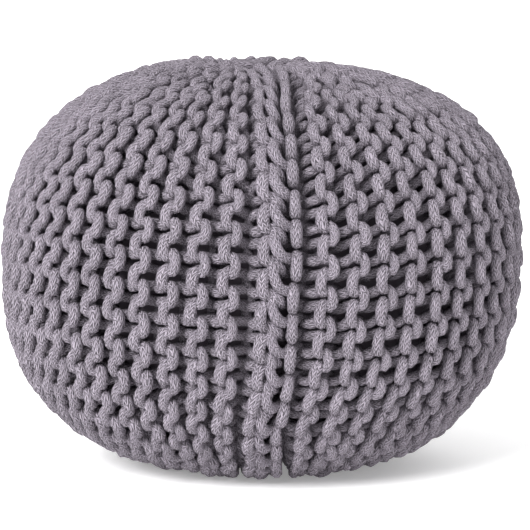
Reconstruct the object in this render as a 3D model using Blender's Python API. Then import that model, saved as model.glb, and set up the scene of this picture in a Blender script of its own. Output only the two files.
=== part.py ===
"""A knitted floor pouf in thick cotton cord.

The cover is a garter-stitch cloth knitted sideways and wrapped round a firm filling, so its
ridges run from the crown down to the base.  Its two edges meet at one seam, which a cord sews
together, and a drawn cord gathers it shut at each end.  The filled cover is one solid.

Metres, +Z up.  The seam faces -Y.  The origin is on the floor under the middle of the pouf.
"""

import math

import bmesh
import bpy

# ---- Driving dimensions: metres, and degrees where the name says so ----

WIDTH = 0.500  # over the ridge crests, at the widest level
WIDEST_HEIGHT = 0.202  # from the floor to the widest level
CROWN_RISE = 0.190  # from the widest level to the top of the crown, before its dimple
BASE_DROP = 0.207  # from the widest level to where the round form would end, just below the floor
LEAN_DEG = 2.5  # the soft form's axis leans this much towards +X
TILT_DEG = 1.2  # its levels tilt this much, down towards +X
LEAN_START = 0.090  # both have grown to their full amount at this height
CROWN_DRIFT = (-0.018, 0.040)  # how far the crown gather is drawn aside, along X and Y
CROWN_DRIFT_SPREAD = 0.120  # the radius over which the crown follows it

CROWN_GATHER_DEPTH = 0.010  # how far the drawn cord pulls the crown in
CROWN_GATHER_SPREAD = 0.030  # the radius over which the crown dips towards it
GATHER_FLOOR = 0.019  # radius of the flat spot that a gather cord lies on
BASE_RECESS_RADIUS = 0.023  # radius of the hollow that the base gather is drawn up into
BASE_RECESS_DEPTH = 0.009

RIDGES = 51  # garter ridges, without the two chain edges along the seam
RIDGE_CROWDING = 0.08  # the ridges lie this share wider apart at +X, and closer at -X
VALLEY_DEPTH = 0.007  # from a ridge's crest down to the valley beside it
VALLEY_FADE = (0.030, 0.130)  # valleys run out between these radii, towards each gather

CORD_DIAMETER = 0.008
SEAM_EDGE = 0.015  # from the middle of the seam to the crest of each chain edge
SEAM_FLOOR = 0.005  # half the width of the channel's floor
SEAM_DEPTH = 0.0085  # the channel's depth below the chain edges
SEAM_RISE = 0.070  # inside this radius the channel grows shallow towards the crown's gather
SEAM_WIDEST_DEG = 40.0  # half the seam's share of the turn, where it is most, close to a gather
GATHER_RADIUS = 0.0135  # of a gather cord's loop, to the middle of the cord
CLEARANCE = 0.0003  # between pieces that touch on the real pouf

# How square each half of the side view is: 2 is an ellipse, and more is fuller at the corner.
FULLNESS = {
    "crown": {"across": 2.67, "up": 2.45, "height": CROWN_RISE},
    "base": {"across": 2.79, "up": 2.35, "height": -BASE_DROP},
}

# The stations down one side, from the middle of the crown to the middle of the base.
STATIONS = [
    {"part": "crown gather", "count": 2, "from_radius": 0.009, "to_radius": GATHER_FLOOR},
    {"part": "crown dip", "count": 3, "from_radius": 0.028, "to_radius": 0.050},
    {"part": "crown", "count": 10, "from_radius": 0.070, "to_radius": WIDTH / 2},
    {"part": "base", "count": 10, "from_radius": WIDTH / 2 - 0.0015, "to_radius": 0.080},
    {"part": "flat", "count": 3, "from_radius": 0.062, "to_radius": BASE_RECESS_RADIUS},
    {"part": "base gather", "count": 2, "from_radius": 0.0205, "to_radius": 0.009},
]

CORD_SIDES_RESOLUTION = 3  # Blender's bevel_resolution: ten sides
GATHER_POINTS = 20  # points round a gather cord's loop
FINE_STEPS = 400  # steps in which a half of the side view is measured

# ---- Colours, as Blender's linear red, green and blue ----

COLOURS = {
    "cord_grey": (0.300, 0.272, 0.310),
    "seam_grey": (0.330, 0.300, 0.338),
    "gather_grey": (0.262, 0.237, 0.272),
}
COTTON_ROUGHNESS = 0.92


def smooth_step(value, low, high):
    """0 below low, 1 above high, and a smooth rise between them."""
    share = min(1.0, max(0.0, (value - low) / (high - low)))
    return share * share * (3.0 - 2.0 * share)


# ---- The side view ----


def round_side(half, turn):
    """(radius, height) on one half's full round form; turn is 0 at its pole and 90 degrees at the middle."""
    shape = FULLNESS[half]
    radius = WIDTH / 2 * math.sin(turn) ** (2.0 / shape["across"])
    rise = shape["height"] * math.cos(turn) ** (2.0 / shape["up"])
    return radius, WIDEST_HEIGHT + rise


def crown_dip(radius):
    """How far the gather pulls the crown down at a radius."""
    reach = max(0.0, radius - GATHER_FLOOR) / CROWN_GATHER_SPREAD
    return CROWN_GATHER_DEPTH * math.exp(-reach * reach)


def crown_height(radius):
    """The height of the crown's line at a radius."""
    shape = FULLNESS["crown"]
    level = (1.0 - (radius / (WIDTH / 2)) ** shape["across"]) ** (1.0 / shape["up"])
    return WIDEST_HEIGHT + shape["height"] * level - crown_dip(radius)


def half_line(half):
    """A fine line down one half of the side view, from its pole to the widest level."""
    line = []
    for step in range(1, FINE_STEPS + 1):
        radius, height = round_side(half, math.pi / 2 * (step / FINE_STEPS) ** 2)
        line.append((radius, crown_height(radius) if half == "crown" else max(0.0, height)))
    return line


def evenly_along(line, count):
    """count points spaced evenly along a line, its two ends included."""
    lengths = [0.0]
    for here, there in zip(line, line[1:]):
        lengths.append(lengths[-1] + math.dist(here, there))
    points, index = [], 0
    for number in range(count):
        goal = lengths[-1] * number / (count - 1)
        while index < len(line) - 2 and lengths[index + 1] < goal:
            index += 1
        share = (goal - lengths[index]) / (lengths[index + 1] - lengths[index])
        start, end = line[index], line[index + 1]
        points.append(tuple(a + share * (b - a) for a, b in zip(start, end)))
    return points


def stretch(row):
    """One row of STATIONS as (radius, height) points."""
    first, last = row["from_radius"], row["to_radius"]
    if row["part"] in FULLNESS:
        low, high = min(first, last), max(first, last)
        line = [point for point in half_line(row["part"]) if low <= point[0] <= high]
        points = evenly_along(line, row["count"])
        return points if first < last else points[::-1]
    heights = {"flat": 0.0, "base gather": BASE_RECESS_DEPTH}
    points = []
    for number in range(row["count"]):
        radius = first + (last - first) * number / (row["count"] - 1)
        points.append((radius, heights.get(row["part"], crown_height(radius))))
    return points


def side_stations():
    """The stations down one side: each one's part, radius, height and outward direction."""
    found = []
    for row in STATIONS:
        for radius, height in stretch(row):
            found.append({"part": row["part"], "radius": radius, "height": height})
    for index, here in enumerate(found):
        if here["part"] in ("flat", "base gather", "crown gather"):
            here["outward"] = (0.0, 1.0 if here["part"] == "crown gather" else -1.0)
            continue
        before, after = found[index - 1], found[index + 1]
        across, up = after["radius"] - before["radius"], after["height"] - before["height"]
        size = math.hypot(across, up)
        here["outward"] = (-up / size, across / size)
    return found


# ---- The pouf's skin ----


def leaned(x, y, z):
    """A point moved as the soft form leans and tilts, and as its crown is drawn aside."""
    reach = math.hypot(x, y) / CROWN_DRIFT_SPREAD
    share = max(0.0, z - WIDEST_HEIGHT) / CROWN_RISE * math.exp(-reach * reach)
    x, y = x + CROWN_DRIFT[0] * share, y + CROWN_DRIFT[1] * share
    grown = smooth_step(z, 0.0, LEAN_START)
    lean = math.tan(math.radians(LEAN_DEG)) * grown
    tilt = math.tan(math.radians(TILT_DEG)) * grown
    return x + lean * (z - WIDEST_HEIGHT), y, z - tilt * x


def skin_point(station, depth, turn):
    """A point depth below the side view's line at a station, turned from -Y towards +X."""
    across = station["radius"] - station["outward"][0] * depth
    up = station["height"] - station["outward"][1] * depth
    return leaned(across * math.sin(turn), -across * math.cos(turn), up)


def skin_columns():
    """The skin's columns, round from the seam: what each is, and where it lies beside the others."""
    found = [{"kind": "channel", "aside": 0.0}, {"kind": "channel", "aside": SEAM_FLOOR}]
    halves = 2 * RIDGES + 2
    for half in range(halves + 1):
        found.append({"kind": "valley" if half % 2 else "crest", "share": half / halves})
    found.append({"kind": "channel", "aside": -SEAM_FLOOR})
    return found


def column_turn(column, radius):
    """The angle of a column round the axis at a radius, in radians from the seam."""
    even_edge = math.pi / (RIDGES + 2)
    edge = min(max(SEAM_EDGE / radius, even_edge), math.radians(SEAM_WIDEST_DEG))
    if column["kind"] == "channel":
        return column["aside"] / SEAM_EDGE * edge
    turn = edge + column["share"] * 2.0 * (math.pi - edge)
    return turn + RIDGE_CROWDING * (math.cos(edge) - math.cos(turn))


def channel_depth(station):
    """How deep the seam's channel is at a station."""
    if station["part"] in ("crown gather", "base gather"):
        return 0.0
    if station["part"] == "crown dip":
        return SEAM_DEPTH * smooth_step(station["radius"], GATHER_FLOOR, SEAM_RISE)
    return SEAM_DEPTH


def column_depth(column, station):
    """How deep a column lies below the crests at a station."""
    if column["kind"] == "channel":
        return channel_depth(station)
    if column["kind"] == "crest" or station["part"] in ("flat", "base gather", "crown gather"):
        return 0.0
    return VALLEY_DEPTH * smooth_step(station["radius"], *VALLEY_FADE)


def make_cover():
    """The filled, knitted cover: one closed form with its ridges, seam channel and gathers."""
    stations, around = side_stations(), skin_columns()
    form = bmesh.new()
    bmesh.ops.create_uvsphere(form, u_segments=len(around), v_segments=len(stations) + 1, radius=1.0)
    for vertex in form.verts:
        from_top = math.acos(max(-1.0, min(1.0, vertex.co.z))) / math.pi
        row = round(from_top * (len(stations) + 1)) - 1
        if not 0 <= row < len(stations):
            vertex.co = leaned(0.0, 0.0, stations[0 if row < 0 else -1]["height"])
            continue
        from_seam = math.atan2(vertex.co.x, -vertex.co.y) % math.tau / math.tau
        column = around[round(from_seam * len(around)) % len(around)]
        station = stations[row]
        turn = column_turn(column, station["radius"])
        vertex.co = skin_point(station, column_depth(column, station), turn)
    bmesh.ops.recalc_face_normals(form, faces=form.faces[:])
    mesh = bpy.data.meshes.new("knit_cover")
    form.to_mesh(mesh)
    form.free()
    mesh.shade_smooth()
    return add_object("knit_cover", mesh, "cord_grey")


# ---- The cords ----


def make_cord(name, route, closed, colour):
    """A round cord along a route of points."""
    curve = bpy.data.curves.new(name, "CURVE")
    curve.dimensions = "3D"
    curve.bevel_depth = CORD_DIAMETER / 2
    curve.bevel_resolution = CORD_SIDES_RESOLUTION
    curve.use_fill_caps = not closed
    spline = curve.splines.new("POLY")
    spline.points.add(len(route) - 1)
    for point, place in zip(spline.points, route):
        point.co = (*place, 1.0)
    spline.use_cyclic_u = closed
    spline.use_smooth = True
    return add_object(name, curve, colour)


def make_seam_cord():
    """The sewing cord in its channel, from the crown gather down to the base gather."""
    lift = CORD_DIAMETER / 2 + CLEARANCE
    route = []
    for station in side_stations():
        if station["radius"] > GATHER_RADIUS + lift:
            route.append(skin_point(station, channel_depth(station) - lift, 0.0))
    return make_cord("seam_cord", route, False, "seam_grey")


def make_gather_cord(name, floor_height, side):
    """A gather's drawn loop; side is 1 where it lies on its floor and -1 where it hangs under it."""
    height = floor_height + side * (CORD_DIAMETER / 2 + CLEARANCE)
    route = []
    for number in range(GATHER_POINTS):
        turn = math.tau * number / GATHER_POINTS
        across, along = GATHER_RADIUS * math.sin(turn), -GATHER_RADIUS * math.cos(turn)
        route.append(leaned(across, along, height))
    return make_cord(name, route, True, "gather_grey")


# ---- Materials and the scene ----


def cotton(name):
    """A matt cotton finish in one of the named colours, shared by the pieces that have it."""
    found = bpy.data.materials.get(name)
    if found:
        return found
    material = bpy.data.materials.new(name)
    material.use_nodes = True
    shader = material.node_tree.nodes["Principled BSDF"]
    shader.inputs["Base Color"].default_value = (*COLOURS[name], 1.0)
    shader.inputs["Roughness"].default_value = COTTON_ROUGHNESS
    shader.inputs["Metallic"].default_value = 0.0
    return material


def add_object(name, data, colour):
    """A new object in the scene, with its material."""
    data.materials.append(cotton(colour))
    made = bpy.data.objects.new(name, data)
    bpy.context.scene.collection.objects.link(made)
    return made


def main():
    for old in list(bpy.data.objects):
        bpy.data.objects.remove(old, do_unlink=True)
    make_cover()
    make_seam_cord()
    make_gather_cord("crown_gather_cord", crown_height(GATHER_FLOOR), 1)
    make_gather_cord("base_gather_cord", BASE_RECESS_DEPTH, -1)


main()
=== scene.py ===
"""A round floor pouf, knitted in garter stitch from thick cotton cord over a filled lining.

The knitting's rows run up the sides, from the base gather to the crown gather, and two rows make one
ridge. The cover is closed by one sewn seam down the front, and a drawn cord gathers each pole.
Places on the cover are given as a turn round the axis from the seam and a distance along the side,
in metres up from the widest level; a depth is measured inwards from the ridges' crests.
"""

import math

import bmesh
import bpy
import numpy as np
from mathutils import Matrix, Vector

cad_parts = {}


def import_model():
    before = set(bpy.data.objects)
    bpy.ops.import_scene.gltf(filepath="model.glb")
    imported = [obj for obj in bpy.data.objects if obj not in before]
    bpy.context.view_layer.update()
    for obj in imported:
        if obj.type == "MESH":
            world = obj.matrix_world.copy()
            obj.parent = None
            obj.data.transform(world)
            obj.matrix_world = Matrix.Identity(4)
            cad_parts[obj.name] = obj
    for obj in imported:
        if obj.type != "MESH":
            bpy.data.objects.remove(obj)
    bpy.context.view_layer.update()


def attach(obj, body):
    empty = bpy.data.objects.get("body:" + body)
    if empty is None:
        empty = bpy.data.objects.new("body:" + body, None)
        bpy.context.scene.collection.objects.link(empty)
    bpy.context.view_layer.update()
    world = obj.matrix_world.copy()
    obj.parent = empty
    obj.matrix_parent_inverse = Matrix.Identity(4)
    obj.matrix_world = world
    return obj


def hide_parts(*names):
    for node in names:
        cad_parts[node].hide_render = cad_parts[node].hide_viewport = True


MM = 0.001
SEED = 11
TINY = 1e-6  # keeps a share from being divided by nothing

# ---- The round form ----

WIDTH, HEIGHT = 503 * MM, 391 * MM  # over the crests
FULLNESS = {"crown": (2.67, 2.45), "base": (2.79, 2.35)}  # how boxy each half is, across and up
WIDEST_HEIGHT = 202 * MM
BASE_DROP = 207 * MM  # a little more than the widest height: the base sits flat on the floor
LEAN_DEG = 2.5  # the soft form's axis leans towards +X
TILT_DEG = 0.8  # its levels tilt, down towards +X
LEAN_START = 90 * MM  # both have grown to their full amount at this height
CROWN_DRIFT = (-18 * MM, 40 * MM)  # how far the crown gather is drawn aside, along X and Y
CROWN_DRIFT_SPREAD = 120 * MM  # the radius over which the crown follows it
GATHER_DEPTH = 10 * MM  # how far the drawn cord pulls the crown in
GATHER_SPREAD = 30 * MM  # the radius over which the crown dips towards it
GATHER_FLOOR = 19 * MM  # the radius of the flat place that it lies on
BASE_HOLLOW = (20 * MM, 42 * MM, 9 * MM)  # inner radius, outer radius and depth of the hollow in the base
POLE_RADIUS = 11 * MM  # the knitting ends here, under the gather cords
SIDE_STEPS = 900  # places on each half of the side view
LUMP = 1.1 * MM  # how uneven the filling leaves the cover
LUMP_GAIN = 1.6  # its waves' height against that
LUMP_WAVES = 9
LUMP_ROUNDS = (1, 6)  # each wave goes this many times round
LUMP_LENGTHS = (4, 14)  # and turns by so many radians in a metre along the side
LUMP_START = 60 * MM  # the sides are fully uneven above this height

# ---- The knitting ----

RIDGES = 51
RIDGE_WIDTH = 30 * MM  # the width that the rows' tables below are drawn for
HALF_STITCH = 15.0  # along a row, in millimetres
STITCH = 2 * HALF_STITCH * MM
FIRST_STITCH = 21 * MM  # one stitch's middle, up from the widest level
RIDGE_CROWDING = 0.08  # the ridges lie wider apart at +X than at -X
TABLE_STEPS = 600  # places along the side where the layout is worked out
CORD_RADIUS = 5.2 * MM
CORD_SWELL = (0.94, 1.07)  # the cord is drawn thin in the depth, and swells at the crests
CORD_UNEVEN = 0.06  # how far a cord's thickness wanders
UNEVEN_SPREAD = (0.5, 0.7, 0.5)  # a cord's unevenness is shared with the points beside it
CREST_DEPTH = 4.4 * MM  # the outermost strands' middle lines lie this deep
RING_SPACING = 3.7 * MM  # between the rings of a cord's mesh
FINE_STEPS = 8  # steps between two of a route's points, when it is smoothed
TUBE_RESOLUTION = 2  # eight-sided cords
CORD_TIP = 0.05  # a cord's ends are closed almost to a point
PATTERN_SHIFT = 0.37  # each cord's sheath starts this many metres further along than the one before
FRONT = 9.6  # the outermost strands' place out from the fabric's middle, in millimetres
DEEP_OUT = (-6.0, 5.0)  # strands below this lie in the valleys, and above it at the crests
PANELS = 6  # the ridges are made as this many pieces

# Half a stitch, from the low loop that joins it to its neighbour to the top of its own loop: across the
# row, along the row from the stitch's middle, out, and how far its upper leg is raised and its lower one
# sunk, in millimetres. A ridge's first row shows the tops of its loops, and its second its low loops.
FIRST_ROW = (
    (0.0, HALF_STITCH, -14.0, 0.0),
    (0.5, 11.6, -14.0, 0.0),
    (2.3, 8.4, -12.4, 0.0),
    (4.9, 7.3, -7.8, 0.5),
    (7.8, 6.8, -2.6, 1.5),
    (11.0, 6.6, -0.6, 1.6),
    (15.0, 6.8, -0.6, 0.6),
    (19.2, 7.6, 1.8, 0.0),
    (23.2, 7.8, 5.6, 0.0),
    (26.2, 6.0, 8.4, 0.0),
    (27.7, 0.0, 9.0, 0.0),
)
SECOND_ROW = (
    (0.0, HALF_STITCH, 9.4, 0.0),
    (0.2, 11.4, 9.3, 0.0),
    (1.6, 8.0, 8.4, 0.0),
    (4.6, 6.2, 4.8, 0.0),
    (9.2, 6.2, -0.8, 0.0),
    (13.8, 6.9, -5.4, 0.0),
    (18.4, 7.5, -9.4, 0.0),
    (23.4, 7.6, -12.4, 0.0),
    (26.6, 4.8, -13.6, 0.0),
    (27.7, 0.0, -13.8, 0.0),
)
LOOP_RISE = 27.7  # how far across the row a loop reaches
FIRST_START, SECOND_START = -21.5, -6.2  # where the two rows' low loops lie beside the ridge's middle

# A ridge's cord begins and ends inside the base, and turns beyond its last loop: across, along from the
# rows' ends, out, and thickness.
RIDGE_BEGIN = ((-14.0, 2.0, -22.0, 1.0), (-19.0, -5.0, -16.0, 1.0))
RIDGE_TURN = ((-14.5, -1.0, -9.0, 1.0), (-14.5, 6.0, -2.0, 1.0), (-9.0, 7.0, 5.0, 1.0))
RIDGE_END = ((-7.5, -5.0, 4.0, 1.0), (-9.0, -6.0, -6.0, 1.0), (-11.0, 0.0, -22.0, 1.0))
# At the crown's pole its turn is this much longer and lower.
POLE_TURN = ((0.0, 0.0, 0.0, 0.0), (0.0, 7.0, -3.5, 0.0), (0.0, 7.0, -7.0, 0.0))
POLE_STITCH = 10  # a ridge that has this stitch reaches the pole

JITTER = (0.6, 0.8, 0.5)  # across, along and out, in millimetres
CROWN_START = (120 * MM, 210 * MM)  # where along the side the changes near a pole begin and end
CROWN_JITTER = 2.2  # this many times as much near the poles
CROWN_THINNING = 0.15  # the cords are drawn this much thinner near the crown

# The next tables go by the turn from the seam in degrees: to its right, and back round to it.
# How far the strands lean:
SLANT = (
    (0, 0.02),
    (30, -0.06),
    (60, -0.22),
    (100, -0.1),
    (200, 0.2),
    (270, 0.34),
    (300, 0.27),
    (325, 0.2),
    (350, 0.1),
    (360, 0.0),
)
# How much more they lean near the crown:
CROWN_SLANT = ((0, -0.05), (60, -0.25), (180, 0.1), (300, 0.45), (345, 0.4), (360, 0.3))
# How steeply both rows run downwards, away from the ridge's middle:
VALLEY_SLOPE = ((0, 0.2), (10, 0.42), (90, 0.46), (180, 0.3), (300, 0.2), (360, 0.18))
# How thick the first row's cord is, and the second row's:
ROW_THICKNESS = (
    (0, 0.91, 1.0),
    (14, 0.9, 1.0),
    (32, 0.84, 0.98),
    (100, 0.84, 0.98),
    (200, 0.91, 1.0),
    (285, 1.01, 0.92),
    (328, 1.01, 0.93),
    (346, 0.93, 1.0),
    (360, 0.91, 1.0),
)
SEAM_SLOPE = 0.18  # how steeply the seam's own rows run down
STEEP, STEEP_DEPTH = 0.2, 12.0  # rows that run steeper than the first of these also sink deeper
STEEP_OUT = (-9.0, 6.0)  # their strands do so fully below the first of these, and not above the second

# Short rows: every ridge but one in five stops before the poles, at about these radii in millimetres.
RIDGE_ENDS = (22, 112, 44, 142, 76)
END_JITTER = 8
FIXED_END = 30  # a ridge that ends inside this radius ends there exactly
END_FADE = (16 * MM, 20 * MM)  # a ridge narrows from before its last loop to beyond it

# ---- The seam ----

# The seam's line and its strip, in millimetres, at places along the side: how far the line sways
# sideways, and how far the strip reaches to its left and to its right.
SEAM_STRIP = (
    (-260, -6.5, 22.0, 27.0),
    (-155, -6.0, 23.5, 28.5),
    (-90, 1.4, 27.5, 31.5),
    (37, 0.0, 27.0, 34.5),
    (130, -3.3, 21.5, 31.0),
    (195, -4.4, 19.0, 29.5),
    (250, 1.0, 19.0, 30.0),
    (300, 3.0, 18.0, 29.0),
    (345, 0.0, 17.0, 28.0),
)
SEAM_SHARE = 0.17  # the most of the way round that the strip takes
SEAM_END = 22 * MM  # its edges end at this radius
EDGE_RADIUS = 5.5 * MM
LEFT_RIDGE = -5.6  # the ridge along the seam's left edge, in millimetres beside its line
LEFT_RIDGE_DROP = 1.5  # it lies this much lower than the others
LEFT_RIDGE_REACH = 1.16  # its low loops are this much longer
LEFT_RIDGE_HELD = 12 * MM  # to the left of the line, the strip narrows only beyond this
# That ridge's first row: its loops' tops lie low, under the sewing cord.
LOW_FIRST_ROW = (
    *FIRST_ROW[:6],
    (14.6, 6.0, -2.2, 0.0),
    (19.0, 6.8, -0.6, 0.0),
    (22.6, 7.0, 2.4, 0.0),
    (25.6, 5.2, 5.2, 0.0),
    (27.4, 0.0, 6.6, 0.0),
)
LOW_SLANT = -0.35  # how far that row leans
RIGHT_CHAIN = 24.6  # the chain along the seam's right edge, in millimetres beside its line
CHAIN_THICKNESS = 0.93  # of the edges' radius
# Half a link of that chain, as half a stitch is given.
HALF_LINK = (
    (0.0, HALF_STITCH, 9.8, 0.0),
    (0.0, 10.2, 9.4, 0.0),
    (0.3, 7.0, 7.6, 0.0),
    (0.8, 5.6, 3.6, 0.0),
    (1.6, 5.2, -1.4, 0.0),
    (4.0, 6.0, -6.4, 0.0),
    (9.0, 7.2, -10.4, 0.0),
    (17.0, 8.0, -13.0, 0.0),
    (25.4, 5.4, -14.0, 0.0),
    (27.7, 0.0, -14.0, 0.0),
)
# The sewing cord's way through one stitch: across, down and out, in millimetres.
LACING = (
    (-2.8, -2.0, -7.5),
    (-2.8, 2.0, -1.0),
    (-2.4, 5.2, 6.0),
    (-1.6, 9.0, 10.2),
    (-0.2, 13.0, 10.8),
    (1.8, 17.0, 10.4),
    (4.8, 20.4, 9.0),
    (8.8, 22.6, 6.4),
    (12.8, 23.8, 2.8),
    (17.0, 25.4, -4.0),
    (17.0, 29.0, -9.5),
    (8.0, 28.4, -13.0),
    (-4.5, 23.6, -12.5),
    (-8.4, 21.2, -7.0),
    (-6.8, 22.8, 0.0),
    (-3.2, 25.6, 4.6),
    (1.4, 29.2, 5.4),
    (5.0, 32.6, 3.4),
    (6.8, 36.0, -2.0),
    (4.4, 37.0, -8.0),
    (-1.0, 32.6, -11.0),
)
LACING_RADIUS = 5.0 * MM
LACING_SQUEEZE = 0.5  # its zigzag is this much narrower near the crown

# ---- The gathers and the lining ----

GATHER_RADIUS = 14.5 * MM
GATHER_CORD_RADIUS = 4.3 * MM
GATHER_SEAT = 0.6  # its cord's middle stands this share of its radius over the knitting's end
GATHER_TURNS = 3.2
GATHER_WINDING = (1.0, 3.0)  # its cord winds inwards between these turns
GATHER_STEPS = 150
GATHER_OVAL = 0.5 * MM  # how far its loop is out of round
GATHER_INNER = 2.5 * MM  # the radius at which the cord's end is tucked away
GATHER_SINK = 5 * MM  # how far it lies inside there
GATHER_SHADE = (0.3, 0.7)  # how deep in the shade its loop lies, and how much deeper its end
LINING_DEPTH = 30 * MM
LINING_MESH = {"u_segments": 96, "v_segments": 64}

# ---- Colours and finish ----

CORD_COLOUR = (0.245, 0.219, 0.255, 1.0)
SEAM_COLOUR = (0.249, 0.222, 0.260, 1.0)
GATHER_COLOUR = (0.224, 0.200, 0.233, 1.0)
# dark lining cloth, made darker still as painted shade for the gaps between the stitches
LINING_COLOUR = (0.125, 0.105, 0.130, 1.0)
LINING_SHADE = 0.7  # the dark spots of its weave
WHITE = (1.0, 1.0, 1.0, 1.0)
MATT = 0.95  # the roughness of cord and lining
CORD_SPECULAR = 0.15
DARK_FIBRES, LIGHT_FIBRES = 0.25, 1.4  # against the cord's own colour
FIBRE_TONES = (0.2, 1.05)  # the pattern's values that give the one and the other
FIBRE_SHARES = (0.8, 1.5, 0.4)  # how much its sheath, its grain and its patches change them
FIBRE_HEIGHTS = (0.8, 1.5)  # how far its grain and its sway stand out, against its sheath's 1
DEPTH_PAINTED_SHADE = 0.24  # painted shade: cords that lie deep, in the valleys and in the gathers, are this much nearer the dark fibres' tone
SHEATH_COLUMNS = 7.0  # of fine stitches round the cord
SHEATH_STITCH = 3.8 * MM  # the length of one of them along it
SHEATH_LEAN = 2.4  # how far its two legs lean, in stitches for each column across
SHEATH_SWAY = (0.8, 1.5)  # how unevenly the columns lie, and the stitches in them
SHEATH_EDGE = (12.0, 0.3)  # how sharply a leg stands up between its neighbours, and its lowest height
SHEATH_DEPTH = 1.2 * MM

# ---- Stage ----

FLOOR_SIZE = 30.0
FLOOR_COLOUR = (0.93, 0.93, 0.93, 1.0)
FLOOR_GLOW = 0.25
ROOM_BRIGHTNESS = 0.83
# The way that each light shines, its width as an angle in degrees, and its power.
LIGHTS = {
    "key": {"way": (0.54, 0.77, -0.56), "softness": 28, "power": 4.8},
    "back": {"way": (-0.35, -0.75, -0.55), "softness": 60, "power": 1.0},
}
CAMERA_TARGET = (3.3 * MM, 0.0, 192 * MM)
CAMERA_ACROSS_DEG, CAMERA_UP_DEG = -2.75, 7.3
CAMERA_DISTANCE = 3.3
CAMERA_LENS, CAMERA_SENSOR = 231.8, 36.0
CAMERA_REACH = 100.0


def smooth_step(value, low, high):
    """0 below low, 1 above high, and a smooth rise between them."""
    share = np.clip((value - low) / (high - low), 0.0, 1.0)
    return share * share * (3.0 - 2.0 * share)


# ---- The round form ----


class Form:
    """The pouf's side view and its lean."""

    def __init__(self, width, height):
        self.height = height
        turn = np.linspace(0.0, 1.0, SIDE_STEPS) ** 2 * math.pi / 2
        across, up = FULLNESS["crown"]
        crown_radius = width / 2 * np.sin(turn) ** (2 / across)
        crown_rise = height - WIDEST_HEIGHT
        crown_height = WIDEST_HEIGHT + crown_rise * np.cos(turn).clip(0) ** (2 / up)
        reach = np.maximum(0.0, crown_radius - GATHER_FLOOR) / GATHER_SPREAD
        crown_height -= GATHER_DEPTH * np.exp(-reach * reach)
        across, up = FULLNESS["base"]
        base_radius = width / 2 * np.sin(turn) ** (2 / across)
        base_height = np.maximum(0.0, WIDEST_HEIGHT - BASE_DROP * np.cos(turn).clip(0) ** (2 / up))
        inner, outer, hollow = BASE_HOLLOW
        base_height += hollow * (1.0 - smooth_step(base_radius, inner, outer))
        radius = np.concatenate([base_radius, crown_radius[::-1][1:]])
        level = np.concatenate([base_height, crown_height[::-1][1:]])
        kept = radius >= POLE_RADIUS
        radius, level = radius[kept], level[kept]
        along = np.concatenate([[0.0], np.cumsum(np.hypot(np.diff(radius), np.diff(level)))])
        self.along = along - along[int(np.argmax(radius))]
        self.radius, self.level = radius, level
        out = np.stack([np.gradient(level, along), -np.gradient(radius, along)])
        self.out = out / np.linalg.norm(out, axis=0)
        rng = np.random.default_rng(SEED)
        self.waves = [
            (
                rng.integers(*LUMP_ROUNDS),
                rng.uniform(*LUMP_LENGTHS),
                rng.uniform(0, math.tau),
                rng.uniform(0, math.tau),
            )
            for _ in range(LUMP_WAVES)
        ]

    def at(self, values, along):
        """One of the side view's rows of numbers, at places along the side."""
        return np.interp(along, self.along, values)

    def end(self, radius, top):
        """How far along the side the form narrows to a radius, towards the top or the base."""
        side = self.along > 0 if top else self.along < 0
        order = np.argsort(self.radius[side])
        return float(np.interp(radius, self.radius[side][order], self.along[side][order]))

    def lumps(self, turn, along):
        """The unevenness of the filling."""
        total = 0.0
        for rounds, length, start, shift in self.waves:
            total = total + np.cos(rounds * turn + start) * np.cos(length * along + shift)
        fade = smooth_step(self.at(self.level, along), 0.0, LUMP_START)
        return LUMP / math.sqrt(LUMP_WAVES) * LUMP_GAIN * total * fade

    def point(self, turn, along, depth):
        """Points under the cover's crests."""
        depth = depth - self.lumps(turn, along) + LUMP / 2
        radius = self.at(self.radius, along) - depth * self.at(self.out[0], along)
        level = self.at(self.level, along) - depth * self.at(self.out[1], along)
        x, y = radius * np.sin(turn), -radius * np.cos(turn)
        return self.leaned(x, y, level)

    def leaned(self, x, y, z):
        """Points moved as the soft form leans and as its crown is drawn aside."""
        share = np.maximum(0.0, z - WIDEST_HEIGHT) / (self.height - WIDEST_HEIGHT)
        share = share * np.exp(-(x * x + y * y) / CROWN_DRIFT_SPREAD**2)
        x, y = x + CROWN_DRIFT[0] * share, y + CROWN_DRIFT[1] * share
        grown = smooth_step(z, 0.0, LEAN_START)
        lean, tilt = (math.tan(math.radians(angle)) * grown for angle in (LEAN_DEG, TILT_DEG))
        return np.stack([x + lean * (z - WIDEST_HEIGHT), y, z - tilt * x], axis=-1)


# ---- Where the ridges lie ----


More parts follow.
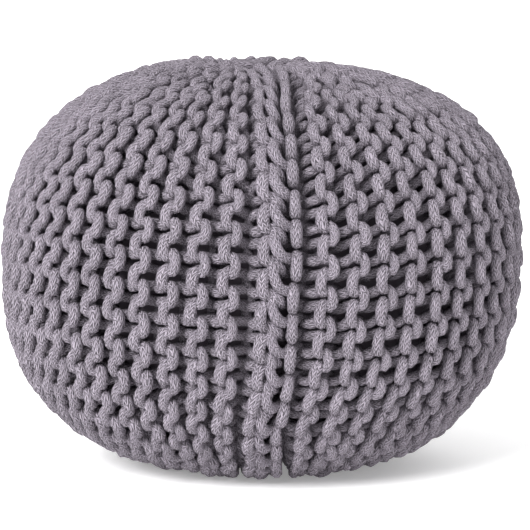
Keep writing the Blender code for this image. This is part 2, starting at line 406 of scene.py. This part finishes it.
class Layout:
    """How the ridges share the way round, and where each of them begins and ends."""

    def __init__(self, form):
        self.form = form
        rng = np.random.default_rng(SEED + 1)
        self.spans = []
        for ridge in range(RIDGES):
            stop = RIDGE_ENDS[ridge % len(RIDGE_ENDS)]
            ends = []
            for top in (False, True):
                near = stop + (rng.uniform(-END_JITTER, END_JITTER) if stop > FIXED_END else 0.0)
                ends.append(self.last_stitch(near * MM, top))
            self.spans.append(tuple(ends))
        self.edge_span = (self.last_stitch(SEAM_END, False), self.last_stitch(SEAM_END, True))
        self.along = np.linspace(form.along[0], form.along[-1], TABLE_STEPS)
        self.radius = form.at(form.radius, self.along)
        self.measure_strip()
        self.measure_ridges()

    def last_stitch(self, radius, top):
        """The last stitch before the form narrows to a radius."""
        reach = self.form.end(radius, top)
        if top:
            return math.floor((reach - FIRST_STITCH - STITCH / 2) / STITCH)
        return math.ceil((reach - FIRST_STITCH + STITCH / 2) / STITCH)

    def measure_strip(self):
        """The seam's strip at places along the side: near the poles it is squeezed."""
        places, *columns = np.array(SEAM_STRIP).T * MM
        sway, self.strip_left, self.strip_right = (
            np.interp(self.along, places, column) for column in columns
        )
        room = SEAM_SHARE * math.tau * self.radius
        self.squeeze = np.minimum(1.0, room / (self.strip_left + self.strip_right))
        self.sway = sway / self.radius * self.squeeze

    def measure_ridges(self):
        """The turns of every ridge's edges at places along the side."""
        before, beyond = END_FADE
        shares = []
        for first, last in self.spans:
            low = FIRST_STITCH + first * STITCH - STITCH / 2
            high = FIRST_STITCH + last * STITCH + STITCH / 2
            shares.append(
                (1.0 - smooth_step(self.along, high - before, high + beyond))
                * smooth_step(self.along, low - beyond, low + before)
            )
        shares = np.array(shares)
        for begin in range(0, RIDGES, len(RIDGE_ENDS)):
            group = shares[begin:begin + len(RIDGE_ENDS)]
            group *= len(group) / np.maximum(group.sum(axis=0), TINY)
        edges = np.concatenate([np.zeros((1, len(self.along))), np.cumsum(shares, axis=0)])
        edges /= edges[-1]
        right = self.strip_right * self.squeeze / self.radius
        left = math.tau - self.strip_left * self.squeeze / self.radius
        turns = right + edges * (left - right)
        self.turns = turns + RIDGE_CROWDING * (1.0 - np.cos(turns)) + self.sway * (1.0 + np.cos(turns)) / 2

    def on_ridge(self, ridge, along):
        """A ridge's middle, as a turn, and its width, at places along the side."""
        low = np.interp(along, self.along, self.turns[ridge])
        high = np.interp(along, self.along, self.turns[ridge + 1])
        return (low + high) / 2, (high - low) * np.interp(along, self.along, self.radius)

    def beside_seam(self, across, along):
        """The turn of places beside the seam's line: each side of it narrows as its strip does."""
        left, right, squeeze, sway = (
            np.interp(along, self.along, values)
            for values in (self.strip_left, self.strip_right, self.squeeze, self.sway)
        )
        widest_left, widest_right = (max(column) * MM for column in np.array(SEAM_STRIP).T[2:])
        beyond = np.minimum(0.0, across + LEFT_RIDGE_HELD)
        held = across - beyond
        narrow = (left - LEFT_RIDGE_HELD) / (widest_left - LEFT_RIDGE_HELD)
        moved = np.where(held > 0, held * right / widest_right, held) + beyond * narrow
        return sway + moved * squeeze / self.form.at(self.form.radius, along)


# ---- Rows of stitches ----


def smooth_route(points, spacing):
    """Points evenly spaced along a smooth line through the given ones."""
    points = np.asarray(points, dtype=float)
    ends = [2 * points[:1] - points[1:2], points, 2 * points[-1:] - points[-2:-1]]
    held = np.concatenate(ends)
    before, here, there, after = held[:-3], held[1:-2], held[2:-1], held[3:]
    lines = []
    for share in np.linspace(0.0, 1.0, FINE_STEPS, endpoint=False):
        lines.append(
            here
            + 0.5 * share * (there - before)
            + share**2 * (before - 2.5 * here + 2 * there - 0.5 * after)
            + share**3 * (1.5 * (here - there) + 0.5 * (after - before))
        )
    fine = np.stack(lines, axis=1).reshape(-1, points.shape[1])
    fine = np.concatenate([fine, points[-1:]])
    steps = np.linalg.norm(np.diff(fine[:, :3], axis=0), axis=1)
    lengths = np.concatenate([[0.0], np.cumsum(steps)])
    goals = np.linspace(0.0, lengths[-1], max(3, round(lengths[-1] / spacing)) + 1)
    return np.stack([np.interp(goals, lengths, column) for column in fine.T], axis=1)


class Way:
    """How far a row's strands lean, how much further near the crown, and how steeply they run down."""

    def __init__(self, slant=0.0, crown_slant=0.0, slope=SEAM_SLOPE):
        self.slant, self.crown_slant, self.slope = slant, crown_slant, slope

    def leant(self, slant):
        """The same way with another slant."""
        return Way(slant, self.crown_slant, self.slope)


def knit_row(rng, first, last, half, way, shift=0.0, reach=1.0, thickness=1.0):
    """One row's control points from the base up: across the ridge, along the side, out, and thickness."""
    start = SECOND_START if half in (SECOND_ROW, HALF_LINK) else FIRST_START
    half = np.array(half)
    count = last - first + 1
    spread = 1.0 + (CROWN_JITTER - 1.0) * smooth_step(abs(np.arange(first, last + 2) * STITCH), *CROWN_START)
    low_jitter = rng.normal(0.0, 1.0, (count + 1, 3)) * JITTER * spread[:, None]
    top_jitter = rng.normal(0.0, 1.0, (count, 3)) * JITTER * spread[:-1, None]
    points = []
    for number in range(count):
        middle = (FIRST_STITCH + (first + number) * STITCH + shift) / MM
        slant = way.slant + way.crown_slant * smooth_step(middle * MM, *CROWN_START)
        for side in (-1, 1):
            steps = half if side < 0 else half[::-1][1:]
            if side < 0 and number:
                steps = steps[1:]
            share = steps[:, :1] / LOOP_RISE
            low = low_jitter[number if side < 0 else number + 1]
            moved = (1 - share) * low + share * top_jitter[number]
            local = (HALF_STITCH - (HALF_STITCH - steps[:, 1]) * reach) * side
            across = start + steps[:, 0]
            lean = slant * (local - side * HALF_STITCH * (1 - share[:, 0]))
            drop = way.slope * np.abs(across)
            sunk = STEEP_DEPTH * max(0.0, way.slope - STEEP) * (1 - smooth_step(steps[:, 2], *STEEP_OUT))
            row = [across + lean, middle + local - drop, steps[:, 2] + side * steps[:, 3] - sunk]
            points.append(np.stack(row, axis=1) + moved)
    points = np.concatenate(points)
    drawn = 1.0 - CROWN_THINNING * smooth_step(points[:, 1] * MM, *CROWN_START)
    return np.column_stack([points, thickness * drawn])


def ridge_route(rng, first, last, way, thickness, first_row=FIRST_ROW, first_way=None, reach=1.0):
    """A ridge's two rows as one cord: up the first, round its last loop and down the second."""
    up = knit_row(rng, first, last, first_row, first_way or way, thickness=thickness[0])
    down = knit_row(rng, first, last, SECOND_ROW, way, reach=reach, thickness=thickness[1])[::-1]
    begin, turn, end = (np.array(points) for points in (RIDGE_BEGIN, RIDGE_TURN, RIDGE_END))
    if last >= POLE_STITCH:
        turn += POLE_TURN
    turn[:, 1] += down[0, 1]
    begin[:, 1] += down[-1, 1]
    end[:, 1] += down[-1, 1]
    return np.concatenate([begin, up[1:-2], turn, down[:-1], end])


def uneven(route):
    """How thick a cord is along its route, for its places out and its own unevenness."""
    rng = np.random.default_rng(len(route))
    noise = np.convolve(rng.normal(0.0, 1.0, len(route)), UNEVEN_SPREAD, mode="same")
    swell = np.interp(route[:, 2], (SECOND_ROW[-1][2], FRONT), CORD_SWELL)
    return route[:, 3] * swell + CORD_UNEVEN * noise


def in_room(layout, route, turn):
    """A route's places in the room, how thick its cord is, and how deep it lies, from 0 to 1, which sets its
    painted shade.
    """
    place = layout.form.point(turn, route[:, 1] * MM, CREST_DEPTH + (FRONT - route[:, 2]) * MM)
    return np.column_stack([place, uneven(route), 1.0 - smooth_step(route[:, 2], *DEEP_OUT)])


def place_on_ridge(layout, ridge, route):
    """A ridge's route in the room."""
    across, along = route[:, 0] * MM, route[:, 1] * MM
    turn, width = layout.on_ridge(ridge, along)
    turn = turn + across * width / RIDGE_WIDTH / layout.form.at(layout.form.radius, along)
    return in_room(layout, route, turn)


def place_at_seam(layout, route):
    """A route beside the seam's line in the room."""
    return in_room(layout, route, layout.beside_seam(route[:, 0] * MM, route[:, 1] * MM))


# ---- Pieces ----


def linked(name, mesh):
    """A new object that holds a mesh."""
    piece = bpy.data.objects.new(name, mesh)
    bpy.context.scene.collection.objects.link(piece)
    return piece


def cord_piece(name, routes, radius):
    """One piece of round cords along routes of places, thicknesses and depths.

    Its UV map holds metres along each cord and turns round it, and its "depth" attribute the depths, which
    darken its colour as painted shade.
    """
    curve = bpy.data.curves.new(name, "CURVE")
    curve.dimensions = "3D"
    curve.bevel_depth = radius
    curve.bevel_resolution = TUBE_RESOLUTION
    for route in routes:
        spline = curve.splines.new("POLY")
        spline.points.add(len(route) - 1)
        spline.points.foreach_set("co", np.column_stack([route[:, :3], np.ones(len(route))]).ravel())
        spline.points.foreach_set("radius", route[:, 3])
        spline.use_smooth = True
        spline.points[0].radius = spline.points[-1].radius = CORD_TIP
    shape = bpy.data.objects.new(name, curve)
    mesh = bpy.data.meshes.new_from_object(shape)
    bpy.data.objects.remove(shape)
    bpy.data.curves.remove(curve)
    mesh.name = name
    sides = 2 * (TUBE_RESOLUTION + 2)
    marks = np.empty(len(mesh.loops) * 2, dtype=np.float32)
    mesh.uv_layers[0].data.foreach_get("uv", marks)
    marks = marks.reshape(-1, 2)
    begin = 0
    for number, route in enumerate(routes):
        end = begin + (len(route) - 1) * sides * 4
        length = float(np.linalg.norm(np.diff(route[:, :3], axis=0), axis=1).sum())
        marks[begin:end, 0] = marks[begin:end, 0] * length + PATTERN_SHIFT * number
        begin = end
    mesh.uv_layers[0].data.foreach_set("uv", marks.ravel())
    depths = np.repeat(np.concatenate([route[:, 4] for route in routes]), sides)
    mesh.attributes.new("depth", "FLOAT", "POINT").data.foreach_set("value", depths.astype(np.float32))
    return linked(name, mesh)


def make_knitting(layout):
    """The cover's ridges, in panels side by side."""
    panels = [[] for _ in range(PANELS)]
    for ridge in range(RIDGES):
        rng = np.random.default_rng(SEED * 100 + ridge)
        turn = (ridge + 0.5) / RIDGES * 360
        way = Way(*(np.interp(turn, *zip(*table)) for table in (SLANT, CROWN_SLANT, VALLEY_SLOPE)))
        turns, *columns = zip(*ROW_THICKNESS)
        thickness = [np.interp(turn, turns, column) for column in columns]
        route = ridge_route(rng, *layout.spans[ridge], way, thickness)
        route = place_on_ridge(layout, ridge, smooth_route(route, RING_SPACING / MM))
        panels[ridge * PANELS // RIDGES].append(route)
    return [
        cord_piece(f"knit_panel_{number + 1}", routes, CORD_RADIUS)
        for number, routes in enumerate(panels)
    ]


def make_seam_edges(layout):
    """The ridge and the chain of links that meet at the seam."""
    rng = np.random.default_rng(SEED * 7)
    first, last = layout.edge_span
    way, thickness = Way(), ROW_THICKNESS[0][1:]
    left = ridge_route(
        rng, first, last, way, thickness, LOW_FIRST_ROW, way.leant(LOW_SLANT), LEFT_RIDGE_REACH
    )
    left[:, 0] += LEFT_RIDGE
    left[:, 1] -= LEFT_RIDGE_DROP
    chain = knit_row(rng, first, last, HALF_LINK, way, shift=STITCH / 2, thickness=CHAIN_THICKNESS)
    chain[:, 0] += RIGHT_CHAIN
    routes = [place_at_seam(layout, smooth_route(route, RING_SPACING / MM)) for route in (left, chain)]
    return cord_piece("seam_edges", routes, EDGE_RADIUS)


def make_lacing(layout):
    """The sewing cord that zigzags between the seam's two edges."""
    first, last = layout.edge_span
    points = []
    for stitch in range(last, first, -1):
        middle = (FIRST_STITCH + stitch * STITCH) / MM
        share = smooth_step(middle * MM, *CROWN_START)
        narrow, thickness = 1.0 - LACING_SQUEEZE * share, 1.0 - CROWN_THINNING * share
        for across, down, out in LACING:
            points.append((across * narrow, middle - down, out, thickness))
    route = place_at_seam(layout, smooth_route(points, RING_SPACING / MM))
    return cord_piece("seam_lacing", [route], LACING_RADIUS)


def make_gather(name, form, top):
    """A pole's drawn cord, with its end wound in and tucked away inside the loop."""
    end = form.along[-1] if top else form.along[0]
    side = 1.0 if top else -1.0
    turn = np.linspace(0.0, GATHER_TURNS * math.tau, GATHER_STEPS)
    wound = smooth_step(turn / math.tau, *GATHER_WINDING)
    across = GATHER_RADIUS + GATHER_OVAL * np.cos(2 * turn) - (GATHER_RADIUS - GATHER_INNER) * wound
    height = float(form.at(form.level, end)) + side * GATHER_CORD_RADIUS * GATHER_SEAT
    height = height - side * GATHER_SINK * wound
    place = form.leaned(across * np.sin(turn), -across * np.cos(turn), height)
    shade, more_shade = GATHER_SHADE
    route = np.column_stack([place, np.ones(len(turn)), shade + more_shade * wound])
    return cord_piece(name, [route], GATHER_CORD_RADIUS)


def make_lining(form):
    """The filled lining inside the knitting."""
    ball = bmesh.new()
    bmesh.ops.create_uvsphere(ball, radius=1.0, **LINING_MESH)
    for vertex in ball.verts:
        share = math.acos(max(-1.0, min(1.0, vertex.co.z))) / math.pi
        turn = math.atan2(vertex.co.x, -vertex.co.y)
        along = form.along[-1] + share * (form.along[0] - form.along[-1])
        place = form.point(np.array(turn), np.array(along), LINING_DEPTH)
        if share in (0.0, 1.0):
            place[0] = place[1] = 0.0
        vertex.co = place
    bmesh.ops.recalc_face_normals(ball, faces=ball.faces[:])
    mesh = bpy.data.meshes.new("filled_lining")
    ball.to_mesh(mesh)
    ball.free()
    mesh.shade_smooth()
    return linked("filled_lining", mesh)


# ---- Materials ----


class Wire:
    """A value on its way through a material; arithmetic on it adds Math nodes."""

    def __init__(self, tree, socket=None):
        self.tree, self.socket = tree, socket

    def node(self, kind, settings=None, values=None, output=0):
        """A new node with its settings made first, then its sockets' values or links."""
        made = self.tree.nodes.new("ShaderNode" + kind)
        for name, value in (settings or {}).items():
            setattr(made, name, value)
        for name, value in (values or {}).items():
            if isinstance(value, Wire):
                self.tree.links.new(value.socket, made.inputs[name])
            else:
                made.inputs[name].default_value = value
        return Wire(self.tree, made.outputs[output])

    def maths(self, operation, *values):
        """A Math node on wires and numbers."""
        return self.node("Math", {"operation": operation}, dict(enumerate(values)))

    def __add__(self, other):
        return self.maths("ADD", self, other)

    def __sub__(self, other):
        return self.maths("SUBTRACT", self, other)

    def __rsub__(self, other):
        return self.maths("SUBTRACT", other, self)

    def __mul__(self, other):
        return self.maths("MULTIPLY", self, other)

    __radd__ = __add__
    __rmul__ = __mul__


def blended(wire, factor, first, second):
    """A colour between two others, which go into a colour Mix node's seventh and eighth sockets."""
    return wire.node("Mix", {"data_type": "RGBA"}, {"Factor": factor, 6: first, 7: second}, output=2)


def toned(colour, share):
    """A darker or lighter shade of a colour."""
    return [min(1.0, part * share) for part in colour[:3]] + [1.0]


def shaded(name, build):
    """A material whose Principled shader build fills in."""
    material = bpy.data.materials.new(name)
    material.use_nodes = True
    shader = material.node_tree.nodes["Principled BSDF"]
    for socket, value in build(Wire(material.node_tree)).items():
        if isinstance(value, Wire):
            material.node_tree.links.new(value.socket, shader.inputs[socket])
        else:
            shader.inputs[socket].default_value = value
    return material


def cotton_cord(colour):
    """Soft matt cotton cord with a fine knitted sheath, specks of darker and lighter fibre, and painted shade
    where it lies deep.
    """

    def build(wire):
        along = wire.node("SeparateXYZ", values={0: wire.node("UVMap")})
        around = Wire(wire.tree, along.socket.node.outputs[1])
        place = wire.node("TexCoord", output=3)
        sway = wire.node("TexNoise", values={"Vector": place, "Scale": 170.0, "Detail": 1.0})
        fine = {"Vector": place, "Scale": 600.0, "Detail": 3.0, "Roughness": 0.75}
        grain = wire.node("TexNoise", values=fine)
        patches = wire.node("TexNoise", values={"Vector": place, "Scale": 30.0, "Detail": 2.0})

        column_sway, stitch_sway = SHEATH_SWAY
        sharpness, lowest = SHEATH_EDGE
        column = wire.maths("FRACT", around * SHEATH_COLUMNS + sway * column_sway)
        column = wire.maths("ABSOLUTE", column - 0.5)
        beat = wire.maths("FRACT", along * (1.0 / SHEATH_STITCH) + column * SHEATH_LEAN + sway * stitch_sway)
        bar = 1.0 - wire.maths("ABSOLUTE", beat * 2.0 - 1.0)
        edge = wire.maths("MINIMUM", column, 0.5 - column)
        sheath = wire.maths("MINIMUM", bar * 2.0, wire.maths("MINIMUM", edge * sharpness + lowest, 1.0))
        grain_height, sway_height = FIBRE_HEIGHTS
        height = sheath + grain * grain_height + sway * sway_height

        sheath_share, grain_share, patch_share = FIBRE_SHARES
        tone = sheath * sheath_share + (grain - 0.5) * grain_share + patches * patch_share
        dark_tone, light_tone = FIBRE_TONES
        shade = wire.node("MapRange", values={0: tone, 1: dark_tone, 2: light_tone, 3: 0.0, 4: 1.0})
        depth = wire.node("Attribute", {"attribute_name": "depth"}, output=2)
        # painted shade: the deeper a cord lies, the darker its colour
        shade = shade * (1.0 - depth * DEPTH_PAINTED_SHADE)
        return {
            "Base Color": blended(wire, shade, toned(colour, DARK_FIBRES), toned(colour, LIGHT_FIBRES)),
            "Roughness": MATT,
            "Specular IOR Level": CORD_SPECULAR,
            "Normal": wire.node("Bump", values={"Strength": 1.0, "Distance": SHEATH_DEPTH, "Height": height}),
        }

    return build


def lining_cloth(wire):
    """Plain dark lining cloth; its colour is also kept dark as painted shade for the gaps between the
    stitches.
    """
    place = wire.node("TexCoord", output=3)
    weave = wire.node("TexNoise", values={"Vector": place, "Scale": 900.0, "Detail": 2.0})
    spots = toned(LINING_COLOUR, LINING_SHADE)
    return {"Base Color": blended(wire, weave, spots, LINING_COLOUR), "Roughness": MATT}


def floor_paint(_wire):
    """Plain pale floor paint, with a faint glow that keeps the shadow soft."""
    return {
        "Base Color": FLOOR_COLOUR,
        "Roughness": 0.9,
        "Emission Color": WHITE,
        "Emission Strength": FLOOR_GLOW,
    }


# ---- Light and camera ----


def make_stage():
    """A plain pale floor, a white room, a soft light from the upper left and a weak one from behind."""
    grid = bmesh.new()
    bmesh.ops.create_grid(grid, x_segments=1, y_segments=1, size=FLOOR_SIZE)
    mesh = bpy.data.meshes.new("floor")
    grid.to_mesh(mesh)
    grid.free()
    mesh.materials.append(shaded("pale_floor", floor_paint))
    linked("floor", mesh)
    world = bpy.data.worlds.new("white_room")
    bpy.context.scene.world = world
    world.use_nodes = True
    room = world.node_tree.nodes["Background"]
    room.inputs["Color"].default_value = WHITE
    room.inputs["Strength"].default_value = ROOM_BRIGHTNESS
    for name, light in LIGHTS.items():
        make_light(name, **light)


def make_light(name, way, softness, power):
    """A soft light that shines one way."""
    data = bpy.data.lights.new(name, "SUN")
    data.energy, data.angle = power, math.radians(softness)
    light = linked(name, data)
    light.rotation_euler = Vector(way).to_track_quat("-Z", "Y").to_euler()
    return light


def make_camera():
    """A long lens, a little above the pouf and a little to the left of its seam."""
    target = Vector(CAMERA_TARGET)
    across, up = math.radians(CAMERA_ACROSS_DEG), math.radians(CAMERA_UP_DEG)
    back = Vector((math.sin(across) * math.cos(up), -math.cos(across) * math.cos(up), math.sin(up)))
    data = bpy.data.cameras.new("camera")
    data.lens, data.sensor_width = CAMERA_LENS, CAMERA_SENSOR
    data.clip_end = CAMERA_REACH
    camera = linked("camera", data)
    camera.location = target + back * CAMERA_DISTANCE
    camera.rotation_euler = (-back).to_track_quat("-Z", "Y").to_euler()
    bpy.context.scene.camera = camera


def finish_piece(piece, material, node):
    """Gives a piece its material and its place in the part."""
    piece.data.materials.clear()
    piece.data.materials.append(material)
    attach(piece, "root")
    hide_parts(node)


def main():
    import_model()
    form = Form(WIDTH, HEIGHT)
    layout = Layout(form)
    cord = shaded("cotton_cord", cotton_cord(CORD_COLOUR))
    sewing = shaded("sewing_cord", cotton_cord(SEAM_COLOUR))
    drawn = shaded("gather_cord", cotton_cord(GATHER_COLOUR))
    for panel in make_knitting(layout):
        finish_piece(panel, cord, "knit_cover")
    finish_piece(make_seam_edges(layout), cord, "knit_cover")
    finish_piece(make_lacing(layout), sewing, "seam_cord")
    finish_piece(make_gather("crown_gather", form, True), drawn, "crown_gather_cord")
    finish_piece(make_gather("base_gather", form, False), drawn, "base_gather_cord")
    lining = make_lining(form)
    finish_piece(lining, shaded("lining_cloth", lining_cloth), "knit_cover")
    make_stage()
    make_camera()
    bpy.context.scene.view_settings.view_transform = "Standard"


main()
